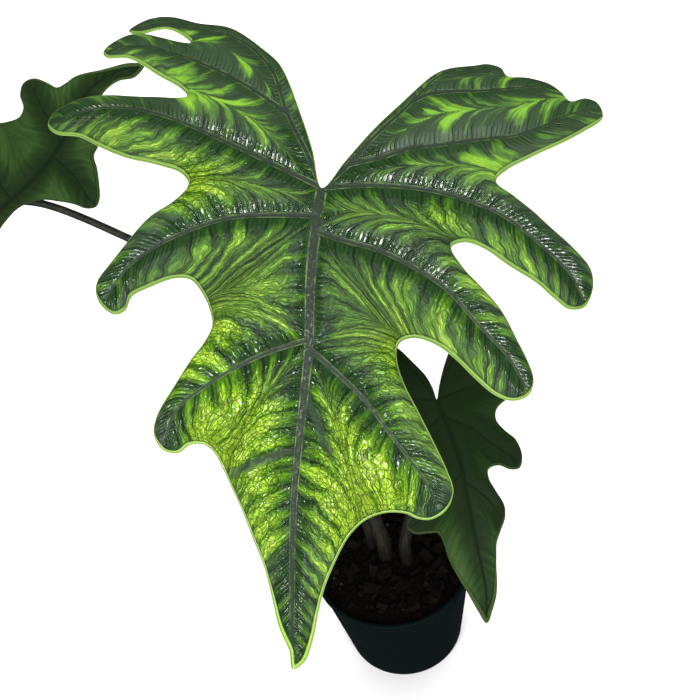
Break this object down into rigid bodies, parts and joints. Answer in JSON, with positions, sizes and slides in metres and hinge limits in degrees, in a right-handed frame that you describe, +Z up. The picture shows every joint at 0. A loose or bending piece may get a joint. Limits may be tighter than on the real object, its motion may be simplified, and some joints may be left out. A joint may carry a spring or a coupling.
{
  "type": "potted alocasia plant",
  "caption": "Small potted alocasia with deeply lobed, glossy lime and dark green leaves on slim dark stalks, in a plain dark nursery pot filled with bark mix.",
  "frame": {"origin": "centre of the pot's flat base, on the surface that it stands on", "axes": "+Z up; the plant's front faces -Y, and +X is to the right seen from the front"},
  "size_m": [0.4092, 0.3262, 0.4089],
  "materials": {
    "pot": "matte dark slate",
    "soil": "rough bark and fibre",
    "petiole": "satin brown-green stalk",
    "lime_blade": "glossy puckered leaf",
    "dark_blade": "satin puckered leaf"
  },
  "bodies": {
    "root": {"pot": "pot", "soil": "soil", "main_petiole": "petiole", "main_blade": "lime_blade", "right_petiole": "petiole", "right_blade": "dark_blade", "left_petiole": "petiole", "left_blade": "dark_blade"}
  },
  "joints": []
}
